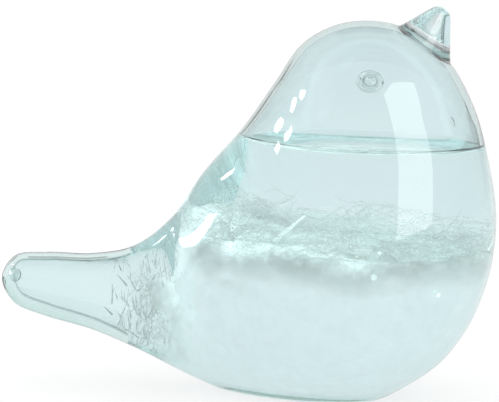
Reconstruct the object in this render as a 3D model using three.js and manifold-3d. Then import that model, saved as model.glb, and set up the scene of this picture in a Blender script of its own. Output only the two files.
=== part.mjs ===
// Weather glass: a sealed, hand-blown glass bird with a camphor solution and its crystals.
// Millimetres, +Z up, beak towards +X. The origin is the centre of the flat base.

import * as THREE from 'three';
import { LoftGeometry } from 'three/addons/geometries/LoftGeometry.js';
import { mergeVertices } from 'three/addons/utils/BufferGeometryUtils.js';
import Module from 'manifold-3d';

const wasm = await Module();
wasm.setup();

// Blown shell
const tailReach = 82.9; // base centre to tail tip
const chestReach = 47.2; // base centre to the front of the chest
const crownHeight = 98.5; // table to the top of the head
const bodyWidth = 82; // across the belly
const glassWall = 1.6;
const tailUnderWall = 2.5; // glass gathers along the underside of the tail
const baseGlass = 3.2; // glass under the hollow
const baseRounding = 1; // height over which the flat base runs into the belly
const fitGap = 0.3; // between pieces that are fused together or that touch
const cutOverrun = 5;

// Sealed filling hole near the tail tip
const portRadius = 1.2;
const portTurn = 38; // degrees from the tail's end towards the right side
const portRise = 16; // degrees
const sealCapRadius = 1.75;
const sealCapHeight = 0.5;

// Beak, a solid cone of clear glass on the forehead
const beakBaseRadius = 8.95;
const beakTipRadius = 3.45;
const beakLength = 11.9; // from the middle of its foot to its tip
const beakSink = 2.6; // the foot's middle below the skin of the forehead
const beakTilt = 28.5; // degrees from upright, towards the chest
const beakRoot = 5; // length below the foot, before it is trimmed to the head

// Eyes, dabs of glass melted on the sides of the head
const eyeRadius = 3.5;
const eyeHeight = 1.1;
const eyeBeadRadius = 1.35;
const leftEyeDrop = 2.6; // the far eye was set lower by hand
const leftEyeLead = 2.2; // and nearer the beak

// Storm liquid and the settled crystals
const liquidLevel = 65.2;
const bedLevel = 40.5;
const bedRelief = 1.5;
const bedLump = 9; // size of one lump on the bed's top

// Tufts of needles that stand on the bed and in the tail root
const needleRootRadius = 0.55;
const needleTipRadius = 0.22;
const needleReach = 7.5;
const tuftHeartRadius = 2.2;
const tuftRise = 1.2; // heart centre above what the tuft stands on
const rootTuftReach = 17;

// Single crystals
const longNeedleRadius = 0.65;
const longNeedleSpan = 11;
const longNeedleRise = 6;
const curvedNeedleRadius = 0.75;
const curvedNeedleSpan = 5;
const curvedNeedleRise = 4.5;
const curvedNeedleBow = 1.2;
const curvedNeedleTurn = 11; // degrees from the front of the chest towards the right side
const wallClearance = 1.2; // from a crystal's tip to the face of the liquid
const needleRootDepth = 3; // how far the single needles reach below the bed's top
const leafCrystalLength = 5;
const leafCrystalWidth = 2.6;
const leafCrystalDepth = 1.1;
const leafCrystalTilt = 20; // degrees
const leafCrystalRise = 6.5; // middle above the level of the bed

// Numbers of needles and of facets
const tuftNeedles = 8;
const rootTuftNeedles = 12;
const sectionCount = 40;
const sectionPoints = 26;
const roundSides = 16;
const turnedSides = 22;
const tipSteps = 4;
const tuftNeedleSides = 4;
const needleSides = 6;
const needleSteps = 7;
const leafSteps = 6;
const bedSteps = [18, 14];

// The bird's outline as matching points of back and belly, from the tail tip to the chest. Each row has
// back x, back z, belly x, belly z, width and pear. An x below 0 follows tailReach and above 0
// chestReach, z follows crownHeight, width makes 1 a section as round as bodyWidth to crownHeight,
// and pear draws the top of a section in.
const outlineShares = [
  [-1.0, 0.284, -1.0, 0.284, 1.22, 0.0],
  [-0.96, 0.344, -0.959, 0.218, 1.22, 0.0],
  [-0.857, 0.356, -0.859, 0.184, 1.2, 0.0],
  [-0.71, 0.357, -0.701, 0.149, 1.02, 0.0],
  [-0.581, 0.381, -0.547, 0.097, 0.82, 0.02],
  [-0.464, 0.46, -0.401, 0.039, 0.78, 0.06],
  [-0.368, 0.583, -0.266, -0.004, 0.9, 0.1],
  [-0.246, 0.707, -0.121, -0.028, 1.03, 0.13],
  [-0.152, 0.826, 0.042, -0.036, 1.05, 0.15],
  [-0.06, 0.94, 0.293, -0.026, 1.0, 0.16],
  [0.131, 0.997, 0.525, 0.028, 0.97, 0.17],
  [0.433, 0.99, 0.71, 0.093, 0.94, 0.17],
  [0.684, 0.911, 0.847, 0.18, 0.95, 0.14],
  [0.837, 0.798, 0.933, 0.273, 0.98, 0.1],
  [0.919, 0.685, 0.984, 0.369, 1.04, 0.05],
  [1.0, 0.498, 1.0, 0.498, 1.04, 0.0],
];
const lastRow = outlineShares.length - 1;
const tailTubeRow = 2; // the row where the tail's round end meets its tube
const poleShare = 0.1; // of a row, how far the end sections stop short of the poles
const tailShare = 0.3; // of the rows, where the tail ends
const normalStepShare = 0.001;

// Places on the form. An x below 0 follows tailReach and above 0 chestReach, y follows half of
// bodyWidth and z follows crownHeight.
const beakPlaceShare = 0.767; // along the back
const eyePlaceShares = [0.243, 0.853]; // x and z
const leafPlaceShare = -0.255; // x
const bedEndShares = [-0.35, -0.52]; // x where the bed starts to run out, and where it ends
const rootTuftPlaceShare = -0.547; // x
const longNeedlePlaceShares = [-0.146, -0.51]; // x and y

// Tufts in the body: name, x, y, and the turn of the first needle in radians
const tuftPlaceShares = [
  ['tuft_near_back', -0.29, -0.38, 0.2],
  ['tuft_near_middle', 0.12, -0.66, 1.1],
  ['tuft_near_chest', 0.58, -0.42, 2.3],
  ['tuft_middle', 0.2, 0.0, 3.1],
  ['tuft_far_back', -0.22, 0.36, 4.0],
  ['tuft_far_middle', 0.2, 0.62, 5.2],
  ['tuft_far_chest', 0.68, 0.3, 0.9],
];

// Other proportions
const eyeRingShares = [[1, 0], [0.86, 0.5], [0.7, 0.72], [0.56, 0.62], [0.46, 0.5]];
const eyeBeadShares = [[1, 0.55], [0.7, 0.86], [0, 1]];
const secondLumpShare = 0.6;
const secondLumpRateShare = 1.7;
const needleSpreadShare = 0.25; // how much the needles of one tuft differ in length
const longNeedleDriftShare = 0.3; // of its span, how far it leans towards the middle
const curvedNeedleDriftShare = 1.5;

// Finishes
const clearGlass = new THREE.MeshStandardMaterial({
  color: 0xcfe6e8, roughness: 0.03, metalness: 0, transparent: true, opacity: 0.35,
});
const camphorSolution = new THREE.MeshStandardMaterial({
  color: 0xd4e8ea, roughness: 0.02, metalness: 0, transparent: true, opacity: 0.4,
});
const settledCamphor = new THREE.MeshStandardMaterial({ color: 0xe2f1f2, roughness: 0.8, metalness: 0 });
const freshCrystal = new THREE.MeshStandardMaterial({ color: 0xeef7f7, roughness: 0.4, metalness: 0 });

const model = new THREE.Group();
const radians = THREE.MathUtils.degToRad;

// Solids from three.js geometry and back
function solidOf(geometry) {
  const bare = new THREE.BufferGeometry();
  bare.setAttribute('position', geometry.attributes.position);
  bare.setIndex(geometry.index);
  const merged = mergeVertices(bare);
  const index = merged.index.array;
  const corners = [];
  for (let i = 0; i < index.length; i += 3) {
    const [a, b, c] = [index[i], index[i + 1], index[i + 2]];
    if (a !== b && b !== c && c !== a) corners.push(a, b, c);
  }
  return new wasm.Manifold(new wasm.Mesh({
    numProp: 3,
    vertProperties: new Float32Array(merged.attributes.position.array),
    triVerts: new Uint32Array(corners),
  }));
}

function geometryOf(solid) {
  const mesh = solid.getMesh();
  const geometry = new THREE.BufferGeometry();
  geometry.setAttribute('position', new THREE.BufferAttribute(new Float32Array(mesh.vertProperties), 3));
  geometry.setIndex(new THREE.BufferAttribute(new Uint32Array(mesh.triVerts), 1));
  geometry.computeVertexNormals();
  return geometry;
}

function addPiece(name, solid, material) {
  const mesh = new THREE.Mesh(geometryOf(solid), material.clone());
  mesh.name = name;
  model.add(mesh);
}

// Where a line from inside a solid leaves it
function surfaceHit(origin, direction, solid) {
  const skin = new THREE.Mesh(geometryOf(solid), new THREE.MeshBasicMaterial({ side: THREE.DoubleSide }));
  return new THREE.Raycaster(origin, direction).intersectObject(skin)[0];
}

// A shape made along +Y, turned to point along a direction and moved to its place
function placed(geometry, direction, position) {
  const turn = new THREE.Quaternion().setFromUnitVectors(new THREE.Vector3(0, 1, 0), direction);
  geometry.applyQuaternion(turn);
  geometry.translate(position.x, position.y, position.z);
  return geometry;
}

function rod(endRadius, startRadius, length, sides, start, direction) {
  const cylinder = new THREE.CylinderGeometry(endRadius, startRadius, length, sides);
  cylinder.translate(0, length / 2, 0);
  return solidOf(placed(cylinder, direction, start));
}

function turned(profile, direction, position) {
  return solidOf(placed(new THREE.LatheGeometry(profile, turnedSides), direction, position));
}

function loft(sections) {
  return solidOf(new LoftGeometry(sections, { capStart: true, capEnd: true }));
}

// A place given in shares of the form
function formPlace(xShare, yShare, zShare) {
  const reach = xShare < 0 ? tailReach : chestReach;
  return new THREE.Vector3(xShare * reach, yShare * bodyWidth / 2, zShare * crownHeight);
}

// The outline is one closed curve, out along the back and home along the belly
const backRows = outlineShares.map((row) => formPlace(row[0], 0, row[1]));
const bellyRows = outlineShares.slice(1, lastRow).map((row) => formPlace(row[2], 0, row[3])).reverse();
const outline = new THREE.CatmullRomCurve3([...backRows, ...bellyRows], true, 'centripetal');
const widthCurve = new THREE.SplineCurve(outlineShares.map((row, i) => new THREE.Vector2(i, row[4])));
const pearCurve = new THREE.SplineCurve(outlineShares.map((row, i) => new THREE.Vector2(i, row[5])));

// A point of the blown form. Along runs from 0 at the tail tip to 1 at the chest, and around from 0
// on the back to pi under the belly.
function formPoint(along, around) {
  const back = outline.getPoint(along / 2);
  const belly = outline.getPoint(1 - along / 2);
  const halfChord = back.clone().sub(belly).divideScalar(2);
  const width = widthCurve.getPoint(along).y * halfChord.length() * bodyWidth / crownHeight;
  const pear = 1 - pearCurve.getPoint(along).y * Math.cos(around);
  const point = back.add(belly).divideScalar(2).addScaledVector(halfChord, Math.cos(around));
  point.y = Math.sin(around) * width * pear;
  return point;
}

function formNormal(along, around) {
  const ahead = formPoint(along + normalStepShare, around).sub(formPoint(along - normalStepShare, around));
  const turnStep = normalStepShare * Math.PI;
  const across = formPoint(along, around + turnStep).sub(formPoint(along, around - turnStep));
  return ahead.cross(across).normalize();
}

function formMiddle(row) {
  return formPoint(row / lastRow, 0).add(formPoint(row / lastRow, Math.PI)).divideScalar(2);
}

// The wall is even, but thicker along the underside of the tail
function wallAt(along, around) {
  const tailPart = 1 - THREE.MathUtils.smoothstep(along, tailShare / 2, tailShare);
  const underPart = (1 - Math.cos(around)) / 2;
  return glassWall + (tailUnderWall - glassWall) * tailPart * underPart;
}

// A height that runs smoothly into a level floor
function settled(height, floor) {
  const above = height - floor;
  if (above >= baseRounding) return height;
  if (above <= -baseRounding) return floor;
  return floor + (above + baseRounding) ** 2 / (4 * baseRounding);
}

// The blown form on a level floor. With wallShare 0 it is the outside and with 1 the hollow, and
// grow sets it further out.
function blownSolid(wallShare, grow, floor) {
  const sections = [];
  for (let i = 0; i < sectionCount; i += 1) {
    const along = THREE.MathUtils.lerp(poleShare, lastRow - poleShare, i / (sectionCount - 1)) / lastRow;
    const points = [];
    for (let j = 0; j < sectionPoints; j += 1) {
      const around = -(j / sectionPoints) * 2 * Math.PI;
      const offset = grow - wallShare * wallAt(along, around);
      const point = formPoint(along, around).addScaledVector(formNormal(along, around), offset);
      point.z = settled(point.z, floor);
      points.push(point);
    }
    sections.push(points);
  }
  return loft(sections);
}

const outerForm = blownSolid(0, 0, 0);
const hollowForm = blownSolid(1, 0, baseGlass);
const fillForm = blownSolid(1, -fitGap, baseGlass + fitGap);
const clearOfShell = blownSolid(0, fitGap, -fitGap);

// Shell with the hole that it was filled through
const tipMiddle = formMiddle(tailTubeRow);
const portAcross = Math.cos(radians(portRise));
const portDirection = new THREE.Vector3(
  -Math.cos(radians(portTurn)) * portAcross,
  -Math.sin(radians(portTurn)) * portAcross,
  Math.sin(radians(portRise)),
);
const portMouth = surfaceHit(tipMiddle, portDirection, outerForm).point;
const portFloor = surfaceHit(tipMiddle, portDirection, hollowForm).point;
const portDepth = portMouth.distanceTo(portFloor);
const portStart = portFloor.clone().addScaledVector(portDirection, -cutOverrun);
const port = rod(portRadius, portRadius, portDepth + 2 * cutOverrun, roundSides, portStart, portDirection);
addPiece('glass_body', outerForm.subtract(hollowForm).subtract(port), clearGlass);

// Plug of melted glass in the hole, with a low cap outside
const plugStart = portFloor.clone().addScaledVector(portDirection, fitGap);
const plug = rod(portRadius - fitGap, portRadius - fitGap, portDepth, roundSides, plugStart, portDirection);
const sealDome = new THREE.SphereGeometry(sealCapRadius, roundSides, roundSides / 2);
sealDome.scale(1, (sealCapHeight + fitGap) / sealCapRadius, 1);
const sealCap = solidOf(placed(sealDome, portDirection, portMouth)).subtract(clearOfShell);
addPiece('tail_seal', sealCap.add(plug), clearGlass);

// Beak: a straight flank that runs into a round tip, with its foot trimmed to the head
const tipCentreHeight = beakLength - beakTipRadius;
const flankTurn = Math.atan2(-tipCentreHeight, beakBaseRadius)
  + Math.acos(beakTipRadius / Math.hypot(tipCentreHeight, beakBaseRadius));
const beakProfile = new THREE.Path();
beakProfile.moveTo(0, -beakRoot);
beakProfile.lineTo(beakBaseRadius, -beakRoot);
beakProfile.lineTo(beakBaseRadius, 0);
beakProfile.absarc(0, tipCentreHeight, beakTipRadius, flankTurn, Math.PI / 2, false);
const beakDirection = new THREE.Vector3(Math.sin(radians(beakTilt)), 0, Math.cos(radians(beakTilt)));
const beakFoot = formPoint(beakPlaceShare, 0).addScaledVector(beakDirection, -beakSink);
const beakCone = turned(beakProfile.getPoints(tipSteps), beakDirection, beakFoot);
addPiece('beak', beakCone.subtract(clearOfShell), clearGlass);

// Eyes: a low ring round a bead, seated where a line across the head meets its side
function eye(side, lead, drop) {
  const middle = formPlace(eyePlaceShares[0], 0, eyePlaceShares[1]);
  middle.x += lead;
  middle.z -= drop;
  const seat = surfaceHit(middle, new THREE.Vector3(0, side, 0), outerForm);
  const profile = [
    new THREE.Vector2(0, -eyeRadius),
    new THREE.Vector2(eyeRadius, -eyeRadius),
    ...eyeRingShares.map(([r, h]) => new THREE.Vector2(r * eyeRadius, h * eyeHeight)),
    ...eyeBeadShares.map(([r, h]) => new THREE.Vector2(r * eyeBeadRadius, h * eyeHeight)),
  ];
  const lifted = seat.point.clone().addScaledVector(seat.face.normal, fitGap);
  return turned(profile, seat.face.normal, lifted).subtract(clearOfShell);
}

addPiece('right_eye', eye(-1, 0, 0), clearGlass);
addPiece('left_eye', eye(1, leftEyeLead, leftEyeDrop), clearGlass);

// Top of the settled crystals: level and lumpy in the body, running out in the tail root
const bedSlopeStart = -bedEndShares[0] * tailReach;
const bedEnd = -bedEndShares[1] * tailReach;

function bedTop(x, y) {
  const [u, v] = [x / bedLump, y / bedLump];
  const lumps = Math.sin(u) * Math.cos(v) + secondLumpShare * Math.sin(secondLumpRateShare * v + u);
  const runOut = THREE.MathUtils.smoothstep(-x, bedSlopeStart, bedEnd);
  return (bedLevel + bedRelief * lumps) * (1 - runOut);
}

function bedBlock(grow) {
  const length = bedEnd + chestReach + cutOverrun;
  const block = new THREE.BoxGeometry(length, bodyWidth + cutOverrun, crownHeight, ...bedSteps, 1);
  block.translate(length / 2 - bedEnd, 0, -crownHeight / 2);
  const place = block.attributes.position;
  for (let i = 0; i < place.count; i += 1) {
    const onTop = place.getZ(i) > -crownHeight / 2;
    if (onTop) place.setZ(i, bedTop(place.getX(i), place.getY(i)) + grow);
  }
  return solidOf(block);
}

const clearOfBed = bedBlock(fitGap);
addPiece('crystal_bed', fillForm.intersect(bedBlock(0)), settledCamphor);

// Each crystal is made at its size, and again grown by the gap, to cut its room in the liquid
const goldenTurn = Math.PI * (3 - Math.sqrt(5));
const crystalRooms = [];

function addCrystal(name, makeSolid, standsOnBed) {
  const crystal = makeSolid(0).intersect(fillForm);
  addPiece(name, standsOnBed ? crystal.subtract(clearOfBed) : crystal, freshCrystal);
  crystalRooms.push(makeSolid(fitGap));
}

// A heart with needles round it, from nearly flat to nearly upright, which stop short of the wall
const lowNeedleRise = 10; // degrees
const highNeedleRise = 84; // degrees

function tuft(centre, reach, count, firstTurn) {
  const needles = [];
  for (let i = 0; i < count; i += 1) {
    const turn = firstTurn + i * goldenTurn;
    const rise = radians(THREE.MathUtils.lerp(lowNeedleRise, highNeedleRise, (i + 1 / 2) / count));
    const direction = new THREE.Vector3(
      Math.cos(turn) * Math.cos(rise),
      Math.sin(turn) * Math.cos(rise),
      Math.sin(rise),
    );
    const room = surfaceHit(centre, direction, fillForm).distance - wallClearance;
    const length = Math.min(reach * (1 - needleSpreadShare * (1 - Math.cos(turn))), room);
    needles.push([direction, length]);
  }
  return (grow) => {
    const heart = new THREE.IcosahedronGeometry(tuftHeartRadius + grow, 0);
    heart.translate(centre.x, centre.y, centre.z);
    const [thin, thick] = [needleTipRadius + grow, needleRootRadius + grow];
    const rods = needles.map(([direction, length]) => (
      rod(thin, thick, length + grow, tuftNeedleSides, centre, direction)
    ));
    return rods.reduce((solid, needleRod) => solid.add(needleRod), solidOf(heart));
  };
}

for (const [name, xShare, yShare, firstTurn] of tuftPlaceShares) {
  const heartPlace = formPlace(xShare, yShare, 0);
  heartPlace.z = bedTop(heartPlace.x, heartPlace.y) + tuftRise;
  addCrystal(name, tuft(heartPlace, needleReach, tuftNeedles, firstTurn), true);
}

// The growth in the tail root stands on the glass
const rootOrigin = formPlace(rootTuftPlaceShare, 0, 0);
rootOrigin.z = tipMiddle.z;
const rootPlace = surfaceHit(rootOrigin, new THREE.Vector3(0, 0, -1), fillForm).point;
rootPlace.z += tuftRise;
addCrystal('tail_root_crystals', tuft(rootPlace, rootTuftReach, rootTuftNeedles, 0), true);

// A single needle along a curve, thinning to its point
function needle(curve, radius) {
  const frames = curve.computeFrenetFrames(needleSteps, false);
  return (grow) => {
    const sections = [];
    for (let i = 0; i <= needleSteps; i += 1) {
      const thickness = THREE.MathUtils.lerp(radius, needleTipRadius, (i / needleSteps) ** 2) + grow;
      const middle = curve.getPoint(i / needleSteps);
      if (i === needleSteps) middle.addScaledVector(frames.tangents[i], grow);
      const points = [];
      for (let j = 0; j < needleSides; j += 1) {
        const turn = (j / needleSides) * 2 * Math.PI;
        points.push(middle.clone()
          .addScaledVector(frames.normals[i], Math.cos(turn) * thickness)
          .addScaledVector(frames.binormals[i], Math.sin(turn) * thickness));
      }
      sections.push(points);
    }
    return loft(sections);
  };
}

// From below the bed's top to a tip, with its middle drawn down and towards the chest by the bow
function needleCurve(root, tip, bow) {
  root.z = bedTop(root.x, root.y) - needleRootDepth;
  const middle = root.clone().lerp(tip, 1 / 2).add(new THREE.Vector3(bow, 0, -bow));
  return new THREE.QuadraticBezierCurve3(root, middle, tip);
}

const longRoot = formPlace(...longNeedlePlaceShares, 0);
const longTip = longRoot.clone();
longTip.x += longNeedleSpan;
longTip.y += longNeedleSpan * longNeedleDriftShare;
longTip.z = bedTop(longRoot.x, longRoot.y) + longNeedleRise;
addCrystal('long_needle', needle(needleCurve(longRoot, longTip, 0), longNeedleRadius), true);

// The curved one ends beside the wall of the chest
const curvedTurn = radians(curvedNeedleTurn);
const curvedOut = new THREE.Vector3(Math.cos(curvedTurn), -Math.sin(curvedTurn), 0);
const curvedOrigin = new THREE.Vector3(0, 0, bedLevel + curvedNeedleRise);
const curvedTip = surfaceHit(curvedOrigin, curvedOut, fillForm).point;
curvedTip.addScaledVector(curvedOut, -wallClearance);
const curvedRoot = curvedTip.clone();
curvedRoot.x -= curvedNeedleSpan;
curvedRoot.y -= curvedNeedleSpan * curvedNeedleDriftShare;
const curvedCurve = needleCurve(curvedRoot, curvedTip, curvedNeedleBow);
addCrystal('curved_needle', needle(curvedCurve, curvedNeedleRadius), true);

// A flat leaf-shaped crystal that grew on the glass of the right side
const leafOrigin = formPlace(leafPlaceShare, 0, 0);
leafOrigin.z = bedLevel + leafCrystalRise;
const leafSeat = surfaceHit(leafOrigin, new THREE.Vector3(0, -1, 0), fillForm);
const leafBack = leafSeat.point.clone().addScaledVector(leafSeat.face.normal, cutOverrun);

function leaf(grow) {
  const halfLength = leafCrystalLength / 2 + grow;
  const bulge = leafCrystalWidth + 2 * grow;
  const shape = new THREE.Shape();
  shape.moveTo(0, -halfLength);
  shape.quadraticCurveTo(bulge, 0, 0, halfLength);
  shape.quadraticCurveTo(-bulge, 0, 0, -halfLength);
  const depth = leafCrystalDepth + grow + cutOverrun;
  const blade = new THREE.ExtrudeGeometry(shape, { depth, bevelEnabled: false, curveSegments: leafSteps });
  blade.rotateZ(radians(-leafCrystalTilt));
  blade.rotateX(Math.PI / 2);
  return solidOf(placed(blade, leafSeat.face.normal, leafBack));
}

addCrystal('leaf_crystal', leaf, false);

// Storm liquid: the rest of the hollow below its level
const levelDepth = liquidLevel + cutOverrun;
const levelBox = new THREE.BoxGeometry(2 * tailReach + cutOverrun, bodyWidth + cutOverrun, levelDepth);
levelBox.translate(0, 0, liquidLevel - levelDepth / 2);
const filled = fillForm.intersect(solidOf(levelBox)).subtract(clearOfBed);
const liquid = crystalRooms.reduce((rest, room) => rest.subtract(room), filled);
addPiece('storm_liquid', liquid, camphorSolution);

export default model;
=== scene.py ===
import math
import random

import bmesh
import bpy
from bpy.props import FloatProperty, FloatVectorProperty, IntProperty, PointerProperty
from bpy.types import Operator, Panel, PropertyGroup
from mathutils import Matrix, Vector, noise
from mathutils.bvhtree import BVHTree


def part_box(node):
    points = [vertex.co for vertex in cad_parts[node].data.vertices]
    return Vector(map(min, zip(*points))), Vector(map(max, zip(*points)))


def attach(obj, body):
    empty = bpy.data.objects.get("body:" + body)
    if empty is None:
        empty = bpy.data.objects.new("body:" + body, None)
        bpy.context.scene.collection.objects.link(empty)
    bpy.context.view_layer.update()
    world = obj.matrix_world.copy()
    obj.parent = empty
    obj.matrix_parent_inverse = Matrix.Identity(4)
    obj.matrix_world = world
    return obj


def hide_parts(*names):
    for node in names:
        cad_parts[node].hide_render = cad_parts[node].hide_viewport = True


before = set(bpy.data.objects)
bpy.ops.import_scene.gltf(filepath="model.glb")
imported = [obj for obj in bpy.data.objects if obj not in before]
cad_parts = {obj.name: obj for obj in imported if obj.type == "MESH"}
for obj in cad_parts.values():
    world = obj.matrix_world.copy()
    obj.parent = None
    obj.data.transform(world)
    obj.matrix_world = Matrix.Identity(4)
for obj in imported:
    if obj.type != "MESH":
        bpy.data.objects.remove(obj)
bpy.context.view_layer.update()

bl_info = {
    "name": "Weather Glass",
    "version": (1, 0, 0),
    "blender": (4, 5, 0),
    "location": "View3D > Sidebar > Weather Glass",
    "description": "Builds a hand-blown weather glass in the shape of a bird, and its studio",
    "category": "Object",
}

# The bird's outline as matching points of back and belly, from the tail tip to the chest. Each row
# has back x, back z, belly x, belly z, width and pear, in shares of the shell's reach and height.
OUTLINE_SHARES = (
    (-1.0, 0.284, -1.0, 0.284, 1.22, 0.0),
    (-0.96, 0.344, -0.959, 0.218, 1.22, 0.0),
    (-0.857, 0.356, -0.859, 0.184, 1.2, 0.0),
    (-0.71, 0.357, -0.701, 0.149, 1.02, 0.0),
    (-0.581, 0.381, -0.547, 0.097, 0.82, 0.02),
    (-0.464, 0.46, -0.401, 0.039, 0.78, 0.06),
    (-0.368, 0.583, -0.266, -0.004, 0.9, 0.1),
    (-0.246, 0.707, -0.121, -0.028, 1.03, 0.13),
    (-0.152, 0.826, 0.042, -0.036, 1.05, 0.15),
    (-0.06, 0.94, 0.293, -0.026, 1.0, 0.16),
    (0.131, 0.997, 0.525, 0.028, 0.97, 0.17),
    (0.433, 0.99, 0.71, 0.093, 0.94, 0.17),
    (0.684, 0.911, 0.847, 0.18, 0.95, 0.14),
    (0.837, 0.798, 0.933, 0.273, 0.98, 0.1),
    (0.919, 0.685, 0.984, 0.369, 1.04, 0.05),
    (1.0, 0.498, 1.0, 0.498, 1.04, 0.0),
)
LAST_ROW = len(OUTLINE_SHARES) - 1
TAIL_SHARE = 0.3
STEP_SHARE = 0.001
FITTING_ROUNDS = 3
OUTLINE_STEPS = 400
UP = Vector((0, 0, 1))


# Short forms for the settings' properties
def sized(name, description, default):
    return FloatProperty(name=name, description=description, default=default, unit="LENGTH")


def angled(name, description, degrees):
    default = math.radians(degrees)
    return FloatProperty(name=name, description=description, default=default, subtype="ANGLE")


def set_at(name, description, default):
    return FloatVectorProperty(
        name=name, description=description, default=default, subtype="XYZ", unit="LENGTH",
    )


def coloured(name, description, default):
    return FloatVectorProperty(name=name, description=description, default=default, subtype="COLOR")


def rated(name, description, default, **limits):
    return FloatProperty(name=name, description=description, default=default, **limits)


def counted(name, description, default):
    return IntProperty(name=name, description=description, default=default)


def smooth(share):
    """Runs softly from 0 to 1 as the share does."""
    share = min(max(share, 0), 1)
    return share * share * (3 - 2 * share)


class ShellSettings(PropertyGroup):
    wall: sized("Wall", "Thickness of the blown glass", 0.0016)
    tail_wall: sized("Tail wall", "Glass under the tail", 0.0025)
    base_glass: sized("Base", "Glass under the hollow", 0.0032)
    base_rounding: sized("Base rounding", "Height of the run into the flat base", 0.001)
    tint: coloured("Tint", "Colour of its two skins", (0.9, 0.9435, 0.967))
    tail_tint: coloured("Tail tint", "Colour of the skins of the tail", (0.95, 0.985, 1))
    # Painted shade: the dark colour of glass seen edge on, which also darkens the seam at the
    # beak's foot.
    seam_and_painted_rim_shade: coloured("Rim tint", "Colour of glass seen edge on", (0.26, 0.34, 0.32))
    depth_tint: coloured("Depth tint", "Colour that the glass takes with depth", (0.0, 0.5, 0.424))
    depth_density: rated("Depth density", "How fast it takes that colour", 66)
    index: rated("Index", "Refraction of the glass", 1.47)
    rings: counted("Rings", "Rings from tail to chest", 220)
    spokes: counted("Spokes", "Points round a ring", 160)


class BeakSettings(PropertyGroup):
    foot_radius: sized("Foot radius", "Half width where it meets the head", 0.00895)
    tip_radius: sized("Tip radius", "Roundness of the tip", 0.00345)
    length: sized("Length", "From its foot to its tip", 0.0121)
    tilt: angled("Tilt", "From upright", 28.5)
    foot: set_at("Foot", "Middle of the foot", (0.0256, 0, 0.09195))
    flare: sized("Flare", "Melted foot", 0.00012)
    fullness: sized("Fullness", "Swell of its back", 0.00045)
    tint: coloured("Tint", "Colour of the solid glass", (0.955, 0.98, 0.98))


class EyeSettings(PropertyGroup):
    radius: sized("Radius", "Outer radius of a dab", 0.0035)
    ring: sized("Ring", "Height of the melted ring", 0.00042)
    bead: sized("Bead", "Radius of the bead", 0.0015)
    height: sized("Height", "Height of the bead", 0.0007)


class SealSettings(PropertyGroup):
    radius: sized("Radius", "Radius of the drop", 0.0017)
    height: sized("Height", "Height of the drop", 0.0001)
    tint: coloured("Tint", "Colour of its glass", (0.8, 0.86, 0.86))


class LiquidSettings(PropertyGroup):
    level: sized("Level", "Height of the surface", 0.0652)
    rise: sized("Rise", "Climb at the wall", 0.0023)
    capillary: sized("Capillary length", "Sets how far the climb reaches", 0.0018)
    bite: sized("Bite", "Overlap into the glass", 0.00012)
    film: sized("Film", "Air along the wall of the tail", 0.0004)
    index: rated("Index", "Refraction of the solution", 1.36)
    tint: coloured("Tint", "Colour of the solution", (0.985, 0.995, 0.995))
    # Painted shade: the colour of the dark line where the solution meets the glass edge on.
    painted_edge_shade: coloured("Edge tint", "Colour where it meets the glass edge on", (0.3, 0.38, 0.36))


class CrystalSettings(PropertyGroup):
    deep: coloured("Deep", "Colour of the settled camphor", (0.93, 0.995, 1))
    top: coloured("Top", "Colour of its loose top", (0.53, 0.61, 0.575))
    # Painted light: how strongly the settled crystals glow, to brighten them.
    glow: rated("Glow", "Light that the settled crystals pass on to each other", 0.6, min=0, max=1)
    needle_colour: coloured("Needles", "Colour of the needles", (0.9, 0.985, 0.965))
    # Painted light: how strongly the needles glow.
    needle_painted_light: rated("Needle glow", "Light that the needles pass on", 0.2, min=0, max=1)
    needle: sized("Needle", "Length of a needle", 0.0075)
    thickness: sized("Thickness", "Radius of a needle", 0.0001)
    feathers: counted("Feathers", "Feathers on the bed", 330)
    needles: counted("Needles", "Loose needles on the bed", 1100)


class StageSettings(PropertyGroup):
    distance: sized("Distance", "Camera distance", 0.6)
    view_width: sized("View width", "Width seen at the glass", 0.13166)
    elevation: angled("Elevation", "Camera angle above level", 6)
    roll: angled("Roll", "Camera roll", 1.8)
    target: set_at("Target", "Where the camera looks", (-0.01795, 0, 0.0503))


class WeatherGlassSettings(PropertyGroup):
    shell: PointerProperty(type=ShellSettings)
    beak: PointerProperty(type=BeakSettings)
    eyes: PointerProperty(type=EyeSettings)
    seal: PointerProperty(type=SealSettings)
    liquid: PointerProperty(type=LiquidSettings)
    crystals: PointerProperty(type=CrystalSettings)
    stage: PointerProperty(type=StageSettings)


def face_out(bm):
    """Turns all faces outward. The signed volume tells whether a closed shape is inside out."""
    bmesh.ops.recalc_face_normals(bm, faces=bm.faces)
    if bm.calc_volume(signed=True) < 0:
        bmesh.ops.reverse_faces(bm, faces=bm.faces)


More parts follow.
